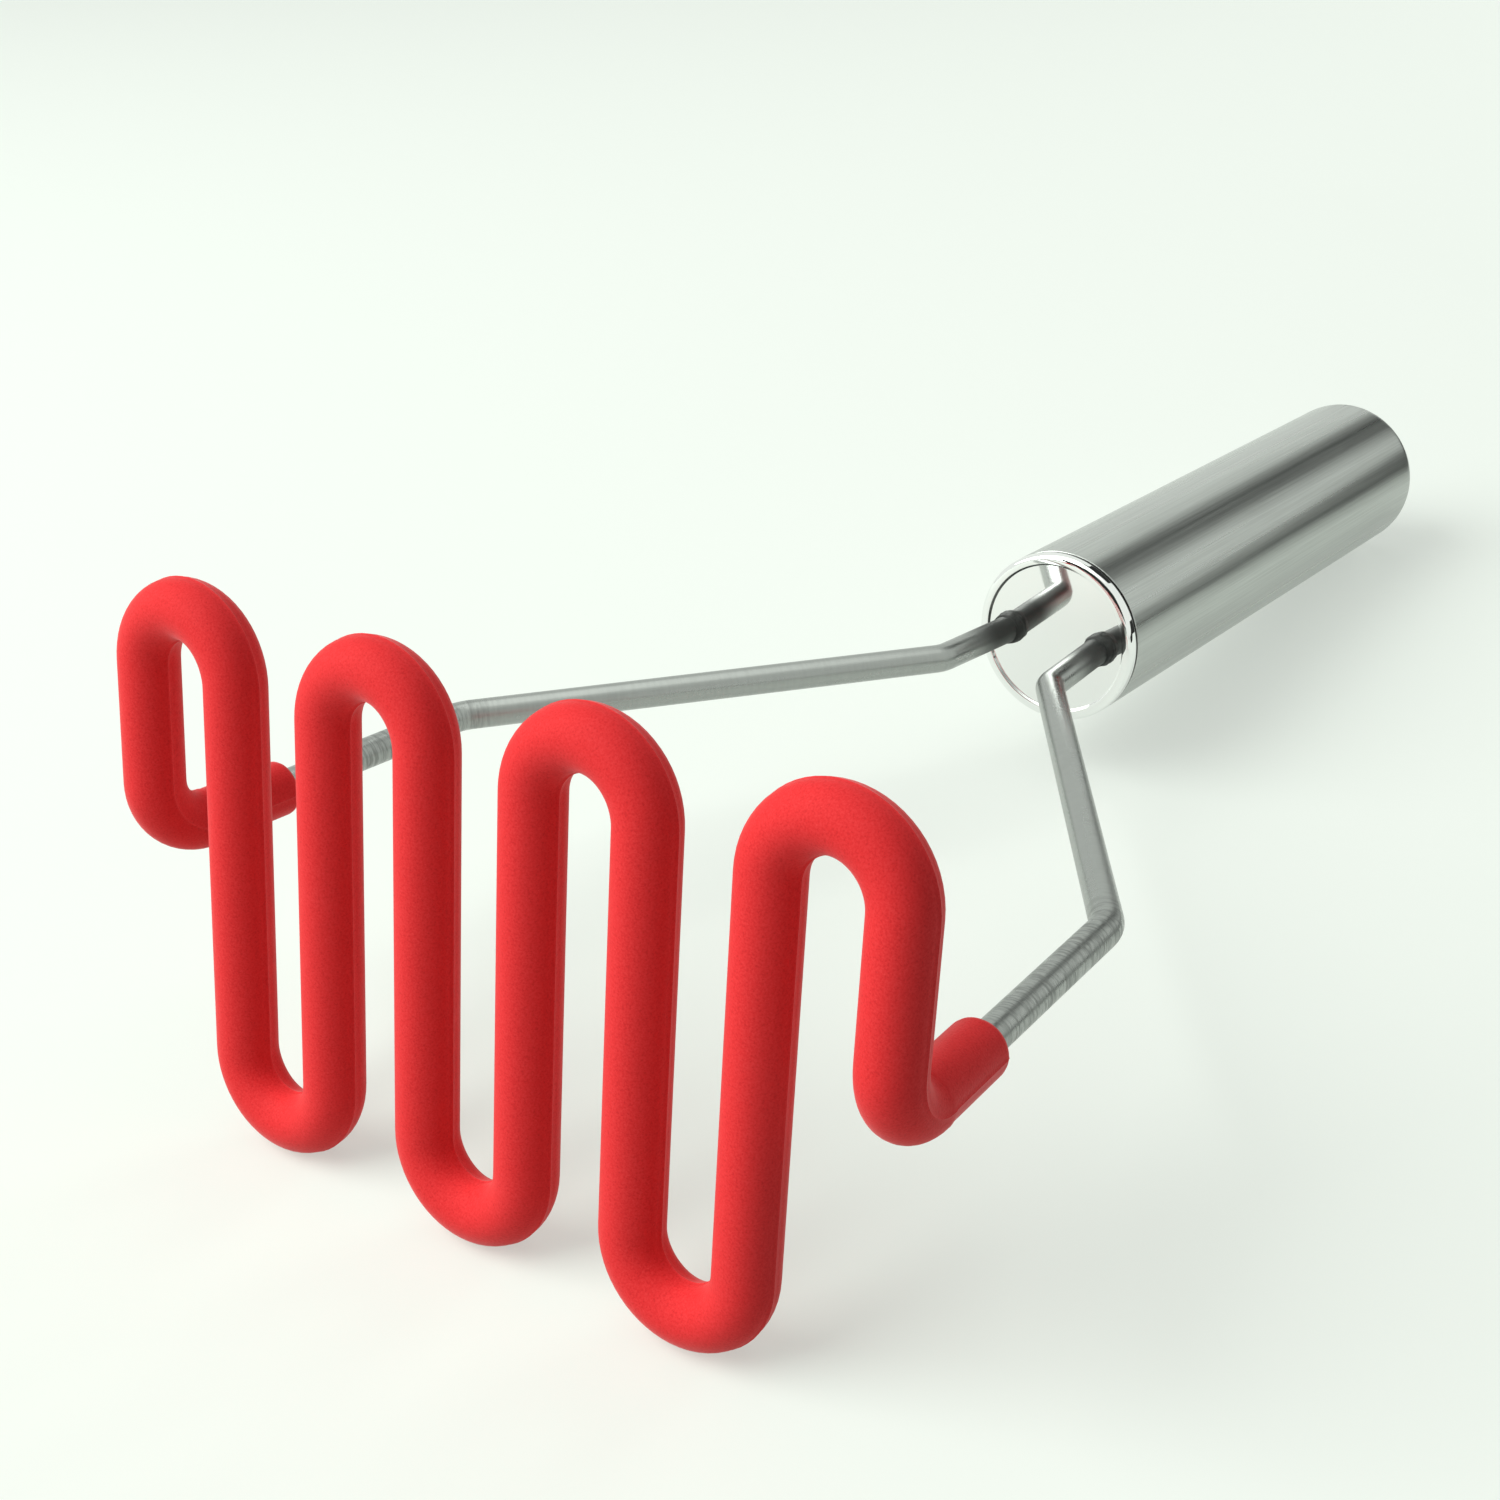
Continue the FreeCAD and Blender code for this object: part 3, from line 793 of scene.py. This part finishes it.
class MASHER_OT_add_silicone_cover(bpy.types.Operator):
    """Add the moulded silicone that covers the head and the start of each arm"""

    bl_idname = "masher.add_silicone_cover"
    bl_label = "Silicone Cover"

    def execute(self, context):
        rod, handle = context.scene.masher_rod_sizes, context.scene.masher_handle_sizes
        cover = context.scene.masher_cover_sizes
        corners = cover_corners(rod, handle, cover.reach)
        bm = bmesh.new()
        segments = 64
        sleeve_radius = cover.radius - cover.ledge
        outer = Bar(bm, corners, sleeve_radius, segments)
        self.raise_parting(outer, sleeve_radius, cover, 2 * math.pi / segments)
        outer.sweep(15 * MILLI, math.radians(6), cover.radius / sleeve_radius)
        inner = Bar(bm, corners, rod.radius, 40)
        inner.sweep(15 * MILLI, math.radians(9))
        for outer_ring, inner_ring in ((outer.first_ring, inner.first_ring), (outer.ring, inner.ring)):
            bmesh.ops.bridge_loops(bm, edges=outer_ring + inner_ring)
            for ring, rounding in ((outer_ring, cover.end_round), (inner_ring, cover.mouth)):
                bmesh.ops.bevel(
                    bm, geom=ring, offset=rounding, offset_type="OFFSET", segments=4, profile=0.5,
                    affect="EDGES", material=-1)
        bmesh.ops.recalc_face_normals(bm, faces=bm.faces)
        centre_places(bm, outer.length)
        finished_piece(
            "masher_silicone", bm, tool_matrix(handle), silicone_material(context.scene.masher_finishes),
            "silicone_cover")
        return {"FINISHED"}

    @staticmethod
    def raise_parting(bar, plain_radius, cover, step):
        """Raise the mould's parting line at the two sides of the first ring."""
        centre = bar.corners[0][0]
        for vert in bar.verts:
            _, side, up = vert[bar.place]
            angle = math.atan2(up, abs(side))
            if abs(angle) > 1.5 * step:
                continue
            on_line = abs(angle) < 0.5 * step
            radius = plain_radius + (cover.parting_height if on_line else 0)
            new_angle = 0 if on_line else math.copysign(cover.parting_half_angle, angle)
            new_side = math.copysign(radius * math.cos(new_angle), side)
            new_up = radius * math.sin(new_angle)
            across, upward = (vert.co - centre), Vector((0, 0, 1))
            sideways = (across - upward * up) / side
            vert.co = centre + sideways * new_side + upward * new_up
            vert[bar.place] = Vector((0, new_side, new_up))


class MASHER_OT_add_handle_tube(bpy.types.Operator):
    """Add the brushed handle tube"""

    bl_idname = "masher.add_handle_tube"
    bl_label = "Handle Tube"

    def execute(self, context):
        handle = context.scene.masher_handle_sizes
        front = handle.face_back + handle.rim_depth + handle.seam_gap
        rear = handle.face_back + handle.length - handle.rear_round - handle.rear_land
        bore = handle.radius - handle.wall
        bm = bmesh.new()
        lathe(bm, [
            (bore, front, 0),
            (handle.radius, front, handle.seam_bevel / 2),
            (handle.radius, rear, 0),
            (bore, rear, 0),
        ], 128, closed=True)
        matrix = tool_matrix(handle)
        finished_piece(
            "masher_tube", bm, matrix, handle_material(context.scene.masher_finishes, matrix),
            "handle_tube", turned=True)
        return {"FINISHED"}


class MASHER_OT_add_front_cap(bpy.types.Operator):
    """Add the mirror polished front cap"""

    bl_idname = "masher.add_front_cap"
    bl_label = "Front Cap"

    def execute(self, context):
        handle = context.scene.masher_handle_sizes
        face = handle.face_back
        rim, crest = handle.radius - handle.rim_width, face - handle.rim_height
        seam = face + handle.rim_depth
        plug = handle.radius - handle.wall - handle.skirt_fit
        hollow = plug - handle.sheet
        bm = bmesh.new()
        lathe(bm, [
            (0, face, 0),
            (rim, face, 0.2 * MILLI),
            (rim, crest, handle.rim_soften * 0.8),
            (handle.radius, crest, handle.rim_round),
            (handle.radius, seam, handle.seam_bevel / 3),
            (plug, seam, 0),
            (plug, seam + handle.skirt, 0),
            (hollow, seam + handle.skirt, 0),
            (hollow, face + handle.sheet, 0),
            (0, face + handle.sheet, 0),
        ], 128, closed=False)
        matrix = tool_matrix(handle)
        finished_piece(
            "masher_front_cap", bm, matrix, polished_material(context.scene.masher_finishes, matrix, seam),
            "front_cap", turned=True)
        return {"FINISHED"}


class MASHER_OT_add_rear_cap(bpy.types.Operator):
    """Add the rounded rear cap"""

    bl_idname = "masher.add_rear_cap"
    bl_label = "Rear Cap"

    def execute(self, context):
        handle = context.scene.masher_handle_sizes
        rear = handle.face_back + handle.length
        seam = rear - handle.rear_round - handle.rear_land
        plug = handle.radius - handle.wall - handle.skirt_fit
        hollow = plug - handle.sheet
        bm = bmesh.new()
        lathe(bm, [
            (0, rear, 0),
            (handle.radius, rear, handle.rear_round),
            (handle.radius, seam, 0),
            (plug, seam, 0),
            (plug, seam - handle.skirt, 0),
            (hollow, seam - handle.skirt, 0),
            (hollow, rear - handle.sheet, 0),
            (0, rear - handle.sheet, 0),
        ], 128, closed=False)
        matrix = tool_matrix(handle)
        finished_piece(
            "masher_rear_cap", bm, matrix, handle_material(context.scene.masher_finishes, matrix),
            "rear_cap", turned=True)
        return {"FINISHED"}


class MASHER_OT_add_welds(bpy.types.Operator):
    """Add the two weld beads where the arms enter the front cap"""

    bl_idname = "masher.add_welds"
    bl_label = "Weld Beads"

    def execute(self, context):
        rod, handle = context.scene.masher_rod_sizes, context.scene.masher_handle_sizes
        material = weld_material(context.scene.masher_finishes)
        for name, side in (("left", -1), ("right", 1)):
            bm = bmesh.new()
            face, inner = handle.face_back, rod.radius
            lathe(bm, [
                (inner, face, 0),
                (inner, face - handle.bead_length, 0),
                (inner + handle.bead_width * 0.6, face - handle.bead_length * 0.85, 0.2 * MILLI),
                (inner + handle.bead_width, face - handle.bead_length * 0.25, 0.2 * MILLI),
                (inner + handle.bead_width, face, 0),
            ], 48, closed=True)
            for vert in bm.verts:
                radius = math.hypot(vert.co.x, vert.co.z)
                if radius > inner + 0.05 * MILLI:
                    uneven = noise.noise(vert.co * 1400 + Vector((0, 7 * side, 0)))
                    vert.co.x *= 1 + 0.06 * (uneven - 0.5)
                    vert.co.z *= 1 + 0.06 * (uneven - 0.5)
            bmesh.ops.translate(bm, verts=bm.verts, vec=(side * rod.entry_across, 0, 0))
            finished_piece(
                "masher_weld_" + name, bm, tool_matrix(handle), material, "weld_" + name)
        return {"FINISHED"}


def direction_to(azimuth, elevation):
    """Unit vector at an azimuth from +Y towards +X and an elevation."""
    return Vector((
        math.sin(azimuth) * math.cos(elevation), math.cos(azimuth) * math.cos(elevation), math.sin(elevation)))


class MASHER_OT_add_stage(bpy.types.Operator):
    """Add the floor, the studio lights and the camera"""

    bl_idname = "masher.add_stage"
    bl_label = "Studio Stage"

    def execute(self, context):
        stage, colours = context.scene.masher_stage, context.scene.masher_finishes
        self.add_floor(stage, colours)
        self.add_world(context, stage)
        self.add_flags()
        centre = Vector((0, 0, 0.02))
        for name, azimuth, elevation, distance, size, power in (
            ("Key", -138, 40, 1.6, 1.4, stage.key_power),
            ("Fill", -60, 82, 1.5, 1.6, stage.fill_power),
            ("Rim", 14, 18, 1.3, 0.6, stage.rim_power),
        ):
            light = self.add_light(
                name, centre, math.radians(azimuth), math.radians(elevation), distance, size, power)
            light.visible_glossy = name != "Rim"
        self.add_camera(context, stage)
        context.scene.view_settings.view_transform = "Standard"
        return {"FINISHED"}

    @staticmethod
    def add_floor(stage, colours):
        """Flat pale floor under the masher."""
        bm = bmesh.new()
        bmesh.ops.create_grid(bm, x_segments=1, y_segments=1, size=stage.floor_size / 2)
        mesh = bpy.data.meshes.new("stage_floor")
        bm.to_mesh(mesh)
        bm.free()
        mesh.materials.append(floor_material(colours, stage.floor_light))
        floor = bpy.data.objects.new("stage_floor", mesh)
        bpy.context.scene.collection.objects.link(floor)

    @staticmethod
    def add_world(context, stage):
        """Pale studio that lights softly and shows at full strength to the camera and to metal."""
        world = bpy.data.worlds.new("Pale studio")
        world.use_nodes = True
        context.scene.world = world
        tree = world.node_tree
        tree.nodes.clear()
        strength = map_range(tree, seen_directly(tree), 0.0, 1.0, stage.sky, 0.93, smooth=False)
        background = add_node(
            tree, "ShaderNodeBackground", {"Color": (0.955, 1.0, 0.95, 1), "Strength": strength})
        output = add_node(tree, "ShaderNodeOutputWorld")
        tree.links.new(background.outputs[0], output.inputs[0])

    @staticmethod
    def add_flags():
        """Dark studio flags that only gloss sees, which draw the long bands on the steel."""
        material = bpy.data.materials.new("studio_flag")
        material.use_nodes = True
        tree = material.node_tree
        tree.nodes.clear()
        glow = add_node(tree, "ShaderNodeEmission", {"Color": (0.03, 0.031, 0.03, 1), "Strength": 1.0})
        output = add_node(tree, "ShaderNodeOutputMaterial")
        tree.links.new(glow.outputs[0], output.inputs[0])
        grip = Vector(MOUNTS["handle_grip"]["pos_m"])
        for name, azimuth, elevation, distance, width, height in (
            ("high", 5, 32, 0.9, 0.32, 0.80),
            ("low", 45, -2, 0.14, 0.6, 0.034),
            ("front", 168, 34, 0.95, 1.3, 0.75),
        ):
            towards = direction_to(math.radians(azimuth), math.radians(elevation))
            bm = bmesh.new()
            bmesh.ops.create_grid(bm, x_segments=1, y_segments=1, size=0.5)
            bmesh.ops.scale(bm, verts=bm.verts, vec=(width, height, 1))
            turn = (-towards).to_track_quat("Z", "Y").to_matrix().to_4x4()
            turn.translation = grip + towards * distance
            bmesh.ops.transform(bm, matrix=turn, verts=bm.verts)
            mesh = bpy.data.meshes.new("stage_flag_" + name)
            bm.to_mesh(mesh)
            bm.free()
            mesh.materials.append(material)
            flag = bpy.data.objects.new("stage_flag_" + name, mesh)
            flag.visible_camera = flag.visible_diffuse = flag.visible_shadow = False
            flag.visible_transmission = flag.visible_volume_scatter = False
            bpy.context.scene.collection.objects.link(flag)

    @staticmethod
    def add_light(name, centre, azimuth, elevation, distance, size, power):
        """Square soft light aimed at the masher."""
        towards = direction_to(azimuth, elevation)
        lamp = bpy.data.lights.new(name, "AREA")
        lamp.shape, lamp.size, lamp.energy = "SQUARE", size, power
        lamp.color = (0.97, 1.0, 0.965)
        light = bpy.data.objects.new(name, lamp)
        light.location = centre + towards * distance
        light.rotation_euler = towards.to_track_quat("Z", "Y").to_euler()
        bpy.context.scene.collection.objects.link(light)
        return light

    @staticmethod
    def add_camera(context, stage):
        """Camera at the chosen angle."""
        data = bpy.data.cameras.new("Camera")
        data.lens = stage.lens
        data.sensor_width = 36
        data.shift_x, data.shift_y = stage.shift_across, stage.shift_up
        data.clip_start = 0.01
        turn = (
            Matrix.Rotation(stage.azimuth, 4, "Z")
            @ Matrix.Rotation(math.pi / 2 - stage.elevation, 4, "X")
            @ Matrix.Rotation(stage.roll, 4, "Z"))
        camera = bpy.data.objects.new("Camera", data)
        camera.matrix_world = Matrix.Translation(
            Vector(stage.target) + turn.to_3x3() @ Vector((0, 0, stage.distance))) @ turn
        context.scene.collection.objects.link(camera)
        context.scene.camera = camera


class MASHER_PT_panel(bpy.types.Panel):
    """Steps that build the masher"""

    bl_label = "Potato Masher"
    bl_idname = "MASHER_PT_panel"
    bl_space_type = "VIEW_3D"
    bl_region_type = "UI"
    bl_category = "Masher"

    def draw(self, context):
        for step in STEPS:
            self.layout.operator(step.bl_idname)
        for key, settings in GROUPS.items():
            box = self.layout.box()
            for setting in settings.__annotations__:
                box.prop(getattr(context.scene, key), setting)


STEPS = (
    MASHER_OT_add_rod,
    MASHER_OT_add_silicone_cover,
    MASHER_OT_add_handle_tube,
    MASHER_OT_add_front_cap,
    MASHER_OT_add_rear_cap,
    MASHER_OT_add_welds,
    MASHER_OT_add_stage,
)
CLASSES = (*GROUPS.values(), *STEPS, MASHER_PT_panel)


def register():
    for cls in CLASSES:
        bpy.utils.register_class(cls)
    for key, settings in GROUPS.items():
        setattr(bpy.types.Scene, key, PointerProperty(type=settings))


def unregister():
    for key in GROUPS:
        delattr(bpy.types.Scene, key)
    for cls in reversed(CLASSES):
        bpy.utils.unregister_class(cls)


def main():
    """Build everything."""
    register()
    for step in STEPS:
        space, name = step.bl_idname.split(".")
        getattr(getattr(bpy.ops, space), name)()


if __name__ == "__main__":
    main()
